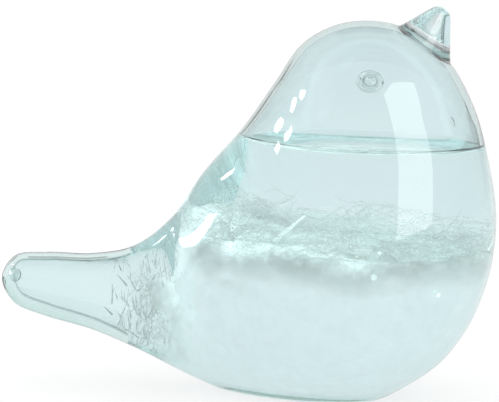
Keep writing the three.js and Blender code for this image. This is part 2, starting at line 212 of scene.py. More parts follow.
class BlownForm:
    """The blown form. Along runs from 0 at the tail tip to 1 at the chest, around from the back."""

    def __init__(self, low, high, settings):
        self.settings = settings
        wanted = (-low.x, high.x, high.y, high.z)
        self.sizes = wanted
        for _ in range(FITTING_ROUNDS):
            self._lay_outline()
            found = self._extents()
            self.sizes = tuple(s * w / f for s, w, f in zip(self.sizes, wanted, found))
        self._lay_outline()

    def _lay_outline(self):
        tail, chest, _, crown = self.sizes
        self._sections = {}

        def place(x, z):
            return Vector((x * (tail if x < 0 else chest), 0, z * crown))

        back = [place(row[0], row[1]) for row in OUTLINE_SHARES]
        belly = [place(row[2], row[3]) for row in OUTLINE_SHARES[1:LAST_ROW]]
        self._points = back + belly[::-1]

    def _extents(self):
        around = [self.outline(i / OUTLINE_STEPS) for i in range(OUTLINE_STEPS)]
        places = [(i / 100, j * math.pi / 24) for i in range(1, 100) for j in range(8, 17)]
        side = max(self.point(along, turn).y for along, turn in places)
        return (
            -min(p.x for p in around), max(p.x for p in around), side, max(p.z for p in around),
        )

    def outline(self, share):
        """A point of the closed outline, by a spline whose knots follow the roots of its chords."""
        count = len(self._points)
        step = math.floor(share * count)
        t = share * count - step
        a, b, c, d = (self._points[(step + k) % count] for k in (-1, 0, 1, 2))
        first, second, third = (math.sqrt((q - p).length) for p, q in ((a, b), (b, c), (c, d)))
        leave = ((b - a) / first - (c - a) / (first + second) + (c - b) / second) * second
        arrive = ((c - b) / second - (d - b) / (second + third) + (d - c) / third) * second
        bend = (c - b) * 3 - leave * 2 - arrive
        settle = (b - c) * 2 + leave + arrive
        return b + leave * t + bend * t**2 + settle * t**3

    def _between_rows(self, column, along):
        place = along * LAST_ROW
        row = min(max(math.floor(place), 0), LAST_ROW)
        t = place - row
        a, b, c, d = (OUTLINE_SHARES[min(max(row + k, 0), LAST_ROW)][column] for k in (-1, 0, 1, 2))
        leave, arrive = (c - a) / 2, (d - b) / 2
        bend = 3 * (c - b) - 2 * leave - arrive
        settle = 2 * (b - c) + leave + arrive
        return b + leave * t + bend * t**2 + settle * t**3

    def section(self, along):
        key = round(along, 7)
        if key not in self._sections:
            back, belly = self.outline(along / 2), self.outline(1 - along / 2)
            half = (back - belly) / 2
            _, _, side, crown = self.sizes
            width = self._between_rows(4, along) * half.length * 2 * side / crown
            self._sections[key] = ((back + belly) / 2, half, width, self._between_rows(5, along))
        return self._sections[key]

    def point(self, along, around):
        middle, half, width, pear = self.section(along)
        place = middle + half * math.cos(around)
        place.y = math.sin(around) * width * (1 - pear * math.cos(around))
        return place

    def normal(self, along, around):
        if along < STEP_SHARE or along > 1 - STEP_SHARE:
            run = self.outline((along + STEP_SHARE) / 2) - self.outline((along - STEP_SHARE) / 2)
            return Vector((-run.z, 0, run.x)).normalized()
        ahead = self.point(along + STEP_SHARE, around) - self.point(along - STEP_SHARE, around)
        turn = STEP_SHARE * math.pi
        across = self.point(along, around + turn) - self.point(along, around - turn)
        return ahead.cross(across).normalized()

    def wall(self, along, around):
        tail_part = 1 - smooth((along - TAIL_SHARE / 2) / (TAIL_SHARE / 2))
        under_part = (1 - math.cos(around)) / 2
        extra = self.settings.tail_wall - self.settings.wall
        return self.settings.wall + extra * tail_part * under_part

    def settled(self, height, floor):
        rounding = self.settings.base_rounding
        above = height - floor
        if above >= rounding:
            return height
        if above <= -rounding:
            return floor
        return floor + (above + rounding) ** 2 / (4 * rounding)

    def skin(self, along, around, wall_share, grow, floor):
        """A point of the form's outside, or with wall_share 1 of its hollow, set out by grow."""
        depth = wall_share * self.wall(along, around) - grow
        place = self.point(along, around) - self.normal(along, around) * depth
        place.z = self.settled(place.z, floor)
        return place

    def ball(self, wall_share=0.0, grow=0.0, floor=0.0):
        """A closed ball whose rings lie on the form."""
        bm = bmesh.new()
        bmesh.ops.create_uvsphere(
            bm, u_segments=self.settings.spokes, v_segments=self.settings.rings, radius=1,
        )
        for vert in bm.verts:
            along = math.acos(min(max(vert.co.z, -1), 1)) / math.pi
            around = math.atan2(vert.co.y, vert.co.x)
            vert.co = self.skin(along, around, wall_share, grow, floor)
        face_out(bm)
        return bm


class Workshop:
    """What the operators share: the form, and trees of its skins to seat pieces on."""

    form = None
    outside = None
    hollow = None

    @classmethod
    def open(cls, settings):
        cls.form = BlownForm(*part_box("glass_body"), settings.shell)
        outer = cls.form.ball()
        inner = cls.form.ball(wall_share=1, floor=settings.shell.base_glass)
        cls.outside = BVHTree.FromBMesh(outer)
        cls.hollow = BVHTree.FromBMesh(inner)
        return outer, inner

    @classmethod
    def inside(cls, place, margin):
        """Whether a place lies in the hollow, and at least the margin from the glass."""
        near, normal, _, _ = cls.hollow.find_nearest(place)
        return (near - place).dot(normal) > margin


class Value:
    """A shader socket that can be written in sums."""

    def __init__(self, tree, socket):
        self.tree = tree
        self.socket = socket

    def _math(self, operation, first, second):
        sockets = {0: first, 1: second}
        return self.tree.node("ShaderNodeMath", {"operation": operation}, sockets).value()

    def __add__(self, other):
        return self._math("ADD", self, other)

    def __radd__(self, other):
        return self._math("ADD", other, self)

    def __sub__(self, other):
        return self._math("SUBTRACT", self, other)

    def __rsub__(self, other):
        return self._math("SUBTRACT", other, self)

    def __mul__(self, other):
        return self._math("MULTIPLY", self, other)

    def __rmul__(self, other):
        return self._math("MULTIPLY", other, self)

    def most(self, other):
        return self._math("MAXIMUM", self, other)


class Made:
    """A node that was added, with its outputs as values."""

    def __init__(self, tree, node):
        self.tree = tree
        self.node = node

    def value(self, output=0):
        return Value(self.tree, self.node.outputs[output])


class Tree:
    """The node tree of a material or world, to which one method adds nodes."""

    def __init__(self, owner):
        self.owner = owner
        owner.use_nodes = True
        self.nodes = owner.node_tree.nodes
        self.links = owner.node_tree.links
        self.nodes.clear()

    def node(self, kind, settings=None, sockets=None):
        made = self.nodes.new(kind)
        for name, value in (settings or {}).items():
            setattr(made, name, value)
        for name, value in (sockets or {}).items():
            if isinstance(value, Value):
                self.links.new(value.socket, made.inputs[name])
            else:
                made.inputs[name].default_value = value
        return Made(self, made)

    def place(self):
        return self.node("ShaderNodeTexCoord").value("Object")

    def noise(self, scale, detail=3.0, roughness=0.5, vector=None):
        vector = vector or self.place()
        sockets = {"Vector": vector, "Scale": scale, "Detail": detail, "Roughness": roughness}
        return self.node("ShaderNodeTexNoise", {}, sockets).value("Fac")

    def part(self, vector, name):
        return self.node("ShaderNodeSeparateXYZ", {}, {0: vector}).value(name)

    def axis(self, name):
        return self.part(self.place(), name)

    def span(self, value, low, high, out_low=0.0, out_high=1.0):
        """Runs softly from out_low to out_high as the value goes from low to high."""
        sockets = {"Value": value, "From Min": low, "From Max": high}
        sockets.update({"To Min": out_low, "To Max": out_high})
        settings = {"interpolation_type": "SMOOTHSTEP"}
        return self.node("ShaderNodeMapRange", settings, sockets).value("Result")

    def blend(self, share, first, second):
        settings = {"data_type": "RGBA"}
        return self.node("ShaderNodeMix", settings, {0: share, 6: first, 7: second}).value(2)

    def bump(self, height, strength, distance):
        sockets = {"Height": height, "Strength": strength, "Distance": distance}
        return self.node("ShaderNodeBump", {}, sockets).value("Normal")

    def surface(self, shader, depth=None):
        """Ends the material in a shader, and hands the material back."""
        sockets = {"Surface": shader, "Volume": depth} if depth else {"Surface": shader}
        self.node("ShaderNodeOutputMaterial", {}, sockets)
        return self.owner

    def principled(self, sockets, depth=None):
        return self.surface(self.node("ShaderNodeBsdfPrincipled", {}, sockets).value(), depth)


def rgba(colour, factor=1.0):
    return (*(c * factor for c in colour), 1.0)


# Where the glass and the solution change, in metres: along the bird, away from the beak's foot,
# where the glass's painted dark rim comes back, and above the liquid's level, where the solution's
# painted dark line fades out.
TAIL_GLASS_FADE = (-0.062, -0.03)
BEAK_CLEARING = (0.0085, 0.0115)
PAINTED_SHADE_LINE_END = (-0.0016, -0.0006)


def blown_glass(name, tint, shell, waviness, edge=0.2, whole_body=False, fused_at=(0, 0, 0)):
    """Clear glass with the faint swell that blowing leaves, with painted shade where it is seen
    edge on.

    The painted dark rim grows from the Fresnel share called edge. On the whole body the tail is
    paler, and no painted rim shows where the beak is fused on."""
    faint_painted_rim, inner_fade = 0.24, 0.6
    tree = Tree(bpy.data.materials.new(name))
    swell = tree.noise(scale=38, detail=1.5)
    colour = tree.blend(swell, rgba(tint, 0.992), rgba(tint, 1.004))
    if whole_body:
        in_body = tree.span(tree.axis("X"), *TAIL_GLASS_FADE)
        colour = tree.blend(in_body, rgba(shell.tail_tint), colour)
    edge_on = tree.node("ShaderNodeFresnel", {}, {"IOR": shell.index}).value()
    inner_side = tree.node("ShaderNodeNewGeometry").value("Backfacing")
    # Painted shade: a faint dark band, then a full dark rim, where the glass is seen edge on,
    # weaker on its inner side.
    painted_rim_band = tree.span(edge_on, edge * 0.3, edge + 0.1) * faint_painted_rim
    rim = painted_rim_band.most(tree.span(edge_on, edge + 0.1, edge + 0.4)) * (1 - inner_side * inner_fade)
    if whole_body:
        sockets = {0: tree.place(), 1: tuple(fused_at)}
        away = tree.node("ShaderNodeVectorMath", {"operation": "DISTANCE"}, sockets).value("Value")
        rim = rim * tree.span(away, *BEAK_CLEARING)
    seam = tree.node("ShaderNodeAttribute", {"attribute_name": "seam"}).value("Fac")
    rim = rim.most(seam * (1 - inner_side))
    depth = None
    if whole_body:
        sockets = {"Color": rgba(shell.depth_tint), "Density": shell.depth_density}
        depth = tree.node("ShaderNodeVolumeAbsorption", {}, sockets).value()
    return tree.principled({
        "Base Color": tree.blend(rim, colour, rgba(shell.seam_and_painted_rim_shade)),
        "Roughness": 0.0,
        "IOR": shell.index,
        "Transmission Weight": 1.0,
        "Normal": tree.bump(tree.noise(scale=55, detail=1.0), waviness, 0.0004),
    }, depth)


def storm_solution(name, liquid, glass_index):
    """The clear solution, hardly tinted, with painted shade: a dark line where it meets the glass
    edge on.
    """
    tree = Tree(bpy.data.materials.new(name))
    cloud = tree.noise(scale=45, detail=2.0)
    colour = tree.blend(cloud, rgba(liquid.tint, 0.995), rgba(liquid.tint))
    edge_on = tree.node("ShaderNodeFresnel", {}, {"IOR": liquid.index / glass_index}).value()
    low, high = (liquid.level + end for end in PAINTED_SHADE_LINE_END)
    # Painted shade: darkest where the solution meets the glass edge on, fading out towards the
    # level.
    line = tree.span(edge_on, 0.03, 0.4) * tree.span(tree.axis("Z"), low, high, 1.0, 0.0)
    return tree.principled({
        "Base Color": tree.blend(line, colour, rgba(liquid.painted_edge_shade)),
        "Roughness": 0.0,
        "IOR": liquid.index,
        "Transmission Weight": 1.0,
    })


# Where the heap of camphor changes, in metres. Up: its loose top, and the wisps that it ends in.
# Along: its front, slanted across the bird, its end in the tail, and the run of its dull middle.
# Across: its near rim, the near side of its middle, the far side of it, and its far side.
LOOSE_TOP = (0.031, 0.0395)
WISPS = (0.0365, 0.0435)
FRONT = (-0.032, -0.016)
FRONT_SLANT = 0.4
TAIL_GREY = (-0.046, -0.03)
TAIL_WISPS = (-0.05, -0.026)
MIDDLE_RUN = (0.002, 0.012)
NEAR_RIM = (-0.028, -0.014)
MIDDLE_NEAR = (-0.02, -0.008)
MIDDLE_FAR = (0.014, 0.026)
FAR_SIDE = (0.004, 0.014)


def camphor_snow(name, colours, glow):
    """Settled camphor: a milky mass, grey at its top, with wisps there and in the tail. It glows
    with painted light, dimmed on upward faces of its front, and its grey tail end holds painted
    shade on faces that turn away from up.
    """
    deep, top = colours
    tree = Tree(bpy.data.materials.new(name))
    fine = tree.noise(scale=420, detail=5.0, roughness=0.65)
    broad = tree.noise(scale=85, detail=4.0)
    cloud = tree.noise(scale=38, detail=3.0)
    along, across, up = (tree.axis(letter) for letter in "XYZ")
    facing_up = tree.part(tree.node("ShaderNodeNewGeometry").value("Normal"), "Z")
    front = tree.span(along - across * FRONT_SLANT, *FRONT)
    # Where the painted glow dims on faces that look up: the front, less towards its far side and at
    # its near rim.
    dull = front * tree.span(across, *FAR_SIDE, 1.0, 0.3) * tree.span(across, *NEAR_RIM, 0.45, 1.0)
    middle = tree.span(across, *MIDDLE_NEAR) * tree.span(across, *MIDDLE_FAR, 1.0, 0.2)
    middle = middle * tree.span(along, *MIDDLE_RUN, 0.4, 0.0)
    # The tail end's grey, kept on faces that turn away from up: partly tone, partly painted shade.
    tail_grey_and_painted_shade = tree.span(along + (cloud - 0.5) * 0.02, *TAIL_GREY, 0.9, 0.0)
    tail_grey_and_painted_shade = tail_grey_and_painted_shade * tree.span(facing_up, 0.1, 0.8, 1.0, 0.1)
    loose = tree.span(up + (cloud - 0.5) * 0.016, *LOOSE_TOP, 0.0, 0.85) * front
    loose = loose.most(tail_grey_and_painted_shade)
    tone = tree.blend(loose, rgba(deep), rgba(top))
    tone = tree.blend(tree.span(broad, 0.4, 0.75, 0.0, 0.2), tone, rgba(deep, 0.9))
    tone = tree.blend(tree.span(fine, 0.3, 0.7, 0.12, 0.0), tone, rgba(top, 0.6))
    tone = tree.blend(loose * middle, tone, rgba(top, 0.6))
    wisps = tree.span(up + (broad - 0.5) * 0.01 + (fine - 0.5) * 0.004, *WISPS, 1.0, 0.0)
    # Painted light: the colour of the glow, dimmed on upward faces of the front.
    painted_glow_colour = tree.blend(tree.span(facing_up, -0.15, 0.6) * dull, tone, rgba(top, 0.2))
    return tree.principled({
        "Base Color": tone,
        "Roughness": 0.75,
        "IOR": 1.3,
        "Alpha": wisps * tree.span(along + (broad - 0.5) * 0.014, *TAIL_WISPS),
        "Emission Color": painted_glow_colour,
        "Emission Strength": glow,
        "Normal": tree.bump(fine, 0.5, 0.0006),
    })


def camphor_needles(name, colour, shade, glow):
    """Fresh crystals: partly clear, some dark and some pale, glowing in their own tone with painted
    light.
    """
    tree = Tree(bpy.data.materials.new(name))
    streak = tree.noise(scale=700, detail=2.0)
    patch = tree.noise(scale=210, detail=2.0)
    tone = tree.blend(tree.span(patch, 0.38, 0.62), rgba(colour, shade), rgba(colour))
    tone = tree.blend(tree.span(streak, 0.3, 0.7), rgba(colour, shade), tone)
    return tree.principled({
        "Base Color": tone,
        "Roughness": 0.35,
        "IOR": 1.3,
        "Alpha": tree.span(streak, 0.2, 0.8, 0.5, 0.9),
        "Emission Color": tone,
        "Emission Strength": glow,
    })


SHARP_EDGE = math.radians(50)


def packed_mesh(name, bm, *materials):
    """Turns a bmesh into a mesh and frees it."""
    mesh = bpy.data.meshes.new(name)
    bm.to_mesh(mesh)
    bm.free()
    for material in materials:
        mesh.materials.append(material)
    return mesh


def placed_object(name, data):
    made = bpy.data.objects.new(name, data)
    bpy.context.scene.collection.objects.link(made)
    return made


def add_piece(name, bm, material, slot, *nodes):
    """Turns a bmesh into a smooth piece that rides on the glass and stands for its CAD nodes."""
    if not bm.faces:
        raise RuntimeError(f"{name} has no faces")
    for face in bm.faces:
        face.smooth = True
    for edge in bm.edges:
        edge.smooth = len(edge.link_faces) != 2 or edge.calc_face_angle() < SHARP_EDGE
    piece = placed_object(name, packed_mesh(name, bm, material))
    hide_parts(*nodes)
    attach(piece, "root")
    return piece


def absorb(bm, other):
    """Adds another bmesh's faces and frees it."""
    mesh = packed_mesh("absorbed", other)
    bm.from_mesh(mesh)
    bpy.data.meshes.remove(mesh)


def merged_node(name):
    """A copy of a CAD node's mesh, with its loose triangles joined."""
    bm = bmesh.new()
    bm.from_mesh(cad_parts[name].data)
    bmesh.ops.remove_doubles(bm, verts=bm.verts, dist=1e-6)
    return bm


def spin_round(bm, steps):
    """Spins all that there is once round the Z axis."""
    bmesh.ops.spin(
        bm, geom=bm.verts[:] + bm.edges[:], cent=(0, 0, 0), axis=UP, angle=math.tau, steps=steps,
        use_merge=True,
    )


def turned(profile, steps):
    """A closed turned shape about Z, from radius and height points that end on the axis."""
    bm = bmesh.new()
    verts = [bm.verts.new((radius, 0, height)) for radius, height in profile]
    for pair in zip(verts, verts[1:]):
        bm.edges.new(pair)
    spin_round(bm, steps)
    bmesh.ops.remove_doubles(bm, verts=bm.verts, dist=1e-7)
    face_out(bm)
    return bm


def add_spike(bm, place, tip, foot=1, length=1, sides=4):
    """Adds a closed cone along Z, whose middle lies on a place."""
    bmesh.ops.create_cone(
        bm, cap_ends=True, segments=sides, radius1=foot, radius2=tip, depth=length, matrix=place,
    )


def add_lump(bm, place, radius):
    matrix = Matrix.Translation(place)
    bmesh.ops.create_icosphere(bm, subdivisions=2, radius=radius, matrix=matrix)


def standing(direction, place):
    """The matrix that stands a shape made along Z on a place, along a direction."""
    return Matrix.Translation(place) @ direction.to_track_quat("Z", "Y").to_matrix().to_4x4()


def bent_to_skin(bm, direction, place, reach):
    """Stands a flat dab on the glass, and bends it so that its heights start from the skin."""
    stand = standing(direction, place)
    back = -direction
    for vert in bm.verts:
        height = vert.co.z
        foot = stand @ Vector((vert.co.x, vert.co.y, reach))
        hit, _, _, _ = Workshop.outside.ray_cast(foot, back)
        if hit is None:
            raise RuntimeError("a dab hangs over the edge of the glass")
        vert.co = hit + direction * height


class WEATHERGLASS_OT_shell(Operator):
    """Blow the shell: the outer skin, and the hollow as an inner skin"""

    bl_idname = "weather_glass.shell"
    bl_label = "Shell"

    def execute(self, context):
        settings = context.scene.weather_glass
        outer, inner = Workshop.open(settings)
        bmesh.ops.reverse_faces(inner, faces=inner.faces)
        absorb(outer, inner)
        sizes = settings.shell
        beak = settings.beak.foot
        material = blown_glass(
            "blown_glass", sizes.tint, sizes, waviness=0.05, whole_body=True, fused_at=beak,
        )
        add_piece("blown_shell", outer, material, "clear_glass", "glass_body")
        return {"FINISHED"}


class WEATHERGLASS_OT_beak(Operator):
    """Draw the beak: a solid cone, melted on the forehead"""

    bl_idname = "weather_glass.beak"
    bl_label = "Beak"
    spokes = 96
    root = 0.005  # length below the foot, before it is cut to the head
    overlap = 0.0004  # how far it ends inside the wall of the head
    seam_half = 0.00035
    fillet_reach = 0.0007
    back_run = 0.002  # from the middle plane to where its back is fully swelled

    def execute(self, context):
        settings = context.scene.weather_glass
        sizes = settings.beak
        bm = turned(self.profile(sizes), self.spokes)
        for vert in bm.verts:
            share = min(max(vert.co.z / sizes.length, 0), 1)
            if vert.co.x < 0:
                swell = sizes.fullness * math.sin(math.pi * share) ** 0.7
                vert.co.x -= swell * min(-vert.co.x / self.back_run, 1)
        direction = Vector((math.sin(sizes.tilt), 0, math.cos(sizes.tilt)))
        foot = Vector(sizes.foot)
        bm.transform(standing(direction, foot))
        self.melt_foot(bm, direction, foot, sizes.flare)
        material = blown_glass("beak_glass", sizes.tint, settings.shell, waviness=0.01, edge=0.5)
        add_piece("melted_beak", bm, material, "clear_glass", "beak")
        return {"FINISHED"}

    @classmethod
    def profile(cls, sizes):
        """From the axis under the foot, up the flank and round the tip."""
        disc_steps, root_steps, flank_steps, tip_steps = 10, 30, 60, 12
        tip_height = sizes.length - sizes.tip_radius
        lean = math.atan2(-tip_height, sizes.foot_radius)
        lean += math.acos(sizes.tip_radius / math.hypot(tip_height, sizes.foot_radius))
        flank_end = Vector((math.cos(lean), math.sin(lean))) * sizes.tip_radius
        flank_end += Vector((0, tip_height))
        foot = Vector((sizes.foot_radius, 0))
        points = [(sizes.foot_radius * i / disc_steps, -cls.root) for i in range(disc_steps + 1)]
        points += [
            (sizes.foot_radius, -cls.root * (1 - i / root_steps)) for i in range(1, root_steps)
        ]
        points += [tuple(foot.lerp(flank_end, i / flank_steps)) for i in range(flank_steps)]
        for i in range(tip_steps + 1):
            turn = lean + (math.pi / 2 - lean) * i / tip_steps
            height = tip_height + sizes.tip_radius * math.sin(turn)
            points.append((sizes.tip_radius * math.cos(turn), height))
        points[0] = (0, -cls.root)
        points[-1] = (0, sizes.length)
        return points

    @classmethod
    def melt_foot(cls, bm, direction, foot, flare):
        """Ends the cone just inside the head's wall, with a small fillet and a seam at its foot."""
        far_out = 0.02
        seam = bm.verts.layers.float.new("seam")
        for vert in bm.verts:
            start = vert.co + direction * far_out
            hit, _, _, _ = Workshop.outside.ray_cast(start, -direction)
            if hit is None:
                continue
            depth = (hit - vert.co).dot(direction)
            if depth > cls.overlap:
                vert.co = hit - direction * cls.overlap
                depth = cls.overlap
            vert[seam] = max(1 - abs(depth) / cls.seam_half, 0)
            away = vert.co - foot
            away -= direction * away.dot(direction)
            if away.length > 1e-5:
                fillet = flare * math.exp(min(depth, 0) / cls.fillet_reach)
                vert.co += away.normalized() * fillet


class WEATHERGLASS_OT_eyes(Operator):
    """Dab the two eyes on the sides of the head"""

    bl_idname = "weather_glass.eyes"
    bl_label = "Eyes"
    spokes = 64
    far_out = 0.01
    sunk = 0.00012  # how far the dab's back lies in the glass
    dip = 0.00008  # glass left between the ring and the bead

    def execute(self, context):
        settings = context.scene.weather_glass
        # With edge 0 the painted dark rim starts on the gentlest slopes of the dabs.
        material = blown_glass(
            "eye_glass", settings.beak.tint, settings.shell, waviness=0.02, edge=0.0,
        )
        dabs = (("near_eye_dab", "right_eye", -1), ("far_eye_dab", "left_eye", 1))
        for name, node, side in dabs:
            low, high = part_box(node)
            middle = (low + high) / 2
            start = Vector((middle.x, 0, middle.z))
            seat, normal, _, _ = Workshop.outside.ray_cast(start, Vector((0, side, 0)))
            bm = turned(self.profile(settings.eyes), self.spokes)
            bent_to_skin(bm, normal, seat, self.far_out)
            add_piece(name, bm, material, "clear_glass", node)
        return {"FINISHED"}

    @classmethod
    def profile(cls, sizes):
        """A bead in a low melted ring that runs out softly on the glass, with a dip between."""
        ring_middle, ring_half = sizes.radius * 0.82, sizes.radius * 0.18
        ring_steps, bead_steps = 16, 10
        points = [(sizes.radius * share, -cls.sunk) for share in (0, 0.5, 1)]
        for i in range(ring_steps + 1):
            share = 1 - 2 * i / ring_steps
            swell = (1 + math.cos(math.pi * share)) / 2
            base = cls.dip if share < 0 else 0.0
            points.append((ring_middle + ring_half * share, base + (sizes.ring - base) * swell))
        for i in range(1, bead_steps + 1):
            share = i / bead_steps
            swell = (1 - math.cos(math.pi * share)) / 2
            height = cls.dip + (sizes.height - cls.dip) * swell
            points.append((sizes.bead * (1 - share), height))
        return points


class WEATHERGLASS_OT_tail_seal(Operator):
    """Close the filling hole with a drop of melted glass"""

    bl_idname = "weather_glass.tail_seal"
    bl_label = "Tail seal"
    sunk = 0.0004
    steps = 10
    spokes = 40
    far_out = 0.003

    def execute(self, context):
        settings = context.scene.weather_glass
        sizes = settings.seal
        low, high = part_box("tail_seal")
        seat, normal, _, _ = Workshop.outside.find_nearest((low + high) / 2)
        profile = [(0, -self.sunk), (sizes.radius, -self.sunk)]
        for i in range(self.steps + 1):
            share = i / self.steps
            swell = math.sin(math.pi / 2 * min(share * 1.6, 1)) ** 2
            profile.append((sizes.radius * (1 - share), sizes.height * swell))
        bm = turned(profile, self.spokes)
        bent_to_skin(bm, normal, seat, self.far_out)
        material = blown_glass("seal_glass", sizes.tint, settings.shell, waviness=0.3, edge=0.25)
        add_piece("melted_seal", bm, material, "clear_glass", "tail_seal")
        return {"FINISHED"}


class WEATHERGLASS_OT_liquid(Operator):
    """Fill the hollow to its level, with the surface climbing at the glass"""

    bl_idname = "weather_glass.liquid"
    bl_label = "Liquid"
    lip = 0.0003  # height of the strip that evens the cut rim
    rim_steps = 320
    film_start, film_run = -0.046, 0.007  # along the tail, where the film of air grows
    climb_shares = (
        0.93, 0.86, 0.79, 0.72, 0.59, 0.47, 0.37, 0.28,
        0.2, 0.14, 0.09, 0.055, 0.03, 0.015, 0.006, 0,
    )

    def execute(self, context):
        settings = context.scene.weather_glass
        sizes = settings.liquid
        floor = settings.shell.base_glass - sizes.bite
        bm = Workshop.form.ball(wall_share=1, grow=sizes.bite, floor=floor)
        bm.normal_update()
        for vert in bm.verts:
            film = sizes.film * smooth((self.film_start - vert.co.x) / self.film_run)
            vert.co -= vert.normal * film
        top = sizes.level + sizes.rise
        skin = BVHTree.FromBMesh(bm)
        geometry = bm.verts[:] + bm.edges[:] + bm.faces[:]
        low = top - self.lip
        bmesh.ops.bisect_plane(
            bm, geom=geometry, plane_co=(0, 0, low), plane_no=UP, clear_outer=True,
        )
        uneven = [edge for edge in bm.edges if edge.is_boundary]
        middle = sum((v.co for e in uneven for v in e.verts), Vector()) / (2 * len(uneven))
        middle.z = top
        place = Matrix.Translation(middle)
        made = bmesh.ops.create_circle(bm, segments=self.rim_steps, radius=0.01, matrix=place)
        circle = made["verts"]
        for vert in circle:
            vert.co = skin.ray_cast(middle, (vert.co - middle).normalized())[0]
        rim = list({edge for vert in circle for edge in vert.link_edges})
        bmesh.ops.bridge_loops(bm, edges=uneven + rim)
        sunk = 0.0
        for left in self.climb_shares:
            reach = self.climb_reach(sizes, max(left, 0.002))
            rim = self.step_in(bm, rim, reach - sunk, sizes.level + sizes.rise * left)
            sunk = reach
        bmesh.ops.edgeloop_fill(bm, edges=rim)
        face_out(bm)
        material = storm_solution("storm_solution", sizes, settings.shell.index)
        add_piece("storm_solution", bm, material, "storm_liquid", "storm_liquid")
        return {"FINISHED"}

    @staticmethod
    def step_in(bm, rim, step, height):
        """Extrudes the rim a level step inward, square to itself, and sets it at a height."""
        made = bmesh.ops.extrude_edge_only(bm, edges=rim)["geom"]
        inner = [
            part for part in made if isinstance(part, bmesh.types.BMEdge) and part.is_boundary
        ]
        verts = {v for e in inner for v in e.verts}
        middle = sum((v.co for v in verts), Vector()) / len(verts)
        moves = {}
        for vert in verts:
            one, other = (e.other_vert(vert) for e in vert.link_edges if e in inner)
            inward = (other.co - one.co).cross(UP).normalized()
            if inward.dot(middle - vert.co) < 0:
                inward = -inward
            moves[vert] = inward * step
        for vert, move in moves.items():
            vert.co += move
            vert.co.z = height
        return inner

    @staticmethod
    def climb_reach(sizes, left):
        """How far from the wall a share of the rise is left, by the capillary curve."""
        long = 2 * sizes.capillary

        def curve(height):
            return sizes.capillary * math.acosh(long / height) - math.sqrt(long**2 - height**2)

        return curve(sizes.rise * left) - curve(sizes.rise)


class WEATHERGLASS_OT_bed(Operator):
    """Heap the settled camphor on the floor of the hollow"""

    bl_idname = "weather_glass.bed"
    bl_label = "Settled camphor"
    seed = 7
    lumps, tail_lumps = 220, 160
    lump_radii = (0.0015, 0.0035)
    tail_lump_radii = (0.002, 0.0034)
    lump_depth, lump_rise = 0.004, (-0.002, 0.003)  # under the bed's top, and up or down from there
    lump_gap, tail_lump_gap = 0.003, 0.0025
    tail_root = ((-0.05, -0.03), (-0.016, 0.016), (0.006, 0.029))  # its run along, across and up
    voxel = 0.0009
    grain, roughness = 260, 0.0005
    wall_gap = 0.0003

    def execute(self, context):
        sizes = context.scene.weather_glass.crystals
        bm = merged_node("crystal_bed")
        low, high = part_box("crystal_bed")
        draw = random.Random(self.seed)
        for _ in range(self.lumps):
            across = draw.uniform(low.x, high.x), draw.uniform(low.y, high.y)
            place = Vector((*across, high.z - self.lump_depth))
            if Workshop.inside(place, self.lump_gap):
                place += UP * draw.uniform(*self.lump_rise)
                add_lump(bm, place, draw.uniform(*self.lump_radii))
        for _ in range(self.tail_lumps):
            place = Vector([draw.uniform(*span) for span in self.tail_root])
            if Workshop.inside(place, self.tail_lump_gap):
                add_lump(bm, place, draw.uniform(*self.tail_lump_radii))
        piece = self.remeshed(bm, self.voxel)
        for vert in piece.verts:
            rough = noise.fractal(vert.co * self.grain, 1.0, 2.0, 4)
            vert.co += vert.normal * rough * self.roughness
            near, normal, _, _ = Workshop.hollow.find_nearest(vert.co)
            if (near - vert.co).dot(normal) < self.wall_gap:
                vert.co = near - normal * self.wall_gap
        material = camphor_snow("camphor_snow", (sizes.deep, sizes.top), sizes.glow)
        add_piece("camphor_heap", piece, material, "settled_camphor", "crystal_bed")
        return {"FINISHED"}

    @staticmethod
    def remeshed(bm, voxel):
        """Melts overlapping shapes into one skin of even faces."""
        mesh = packed_mesh("heap", bm)
        heap = placed_object("heap", mesh)
        remesh = heap.modifiers.new("Remesh", "REMESH")
        remesh.mode = "VOXEL"
        remesh.voxel_size = voxel
        smooth = heap.modifiers.new("Smooth", "SMOOTH")
        smooth.iterations = 4
        evaluated = heap.evaluated_get(bpy.context.evaluated_depsgraph_get())
        result = bmesh.new()
        result.from_mesh(evaluated.to_mesh())
        evaluated.to_mesh_clear()
        bpy.data.objects.remove(heap)
        bpy.data.meshes.remove(mesh)
        result.normal_update()
        return result


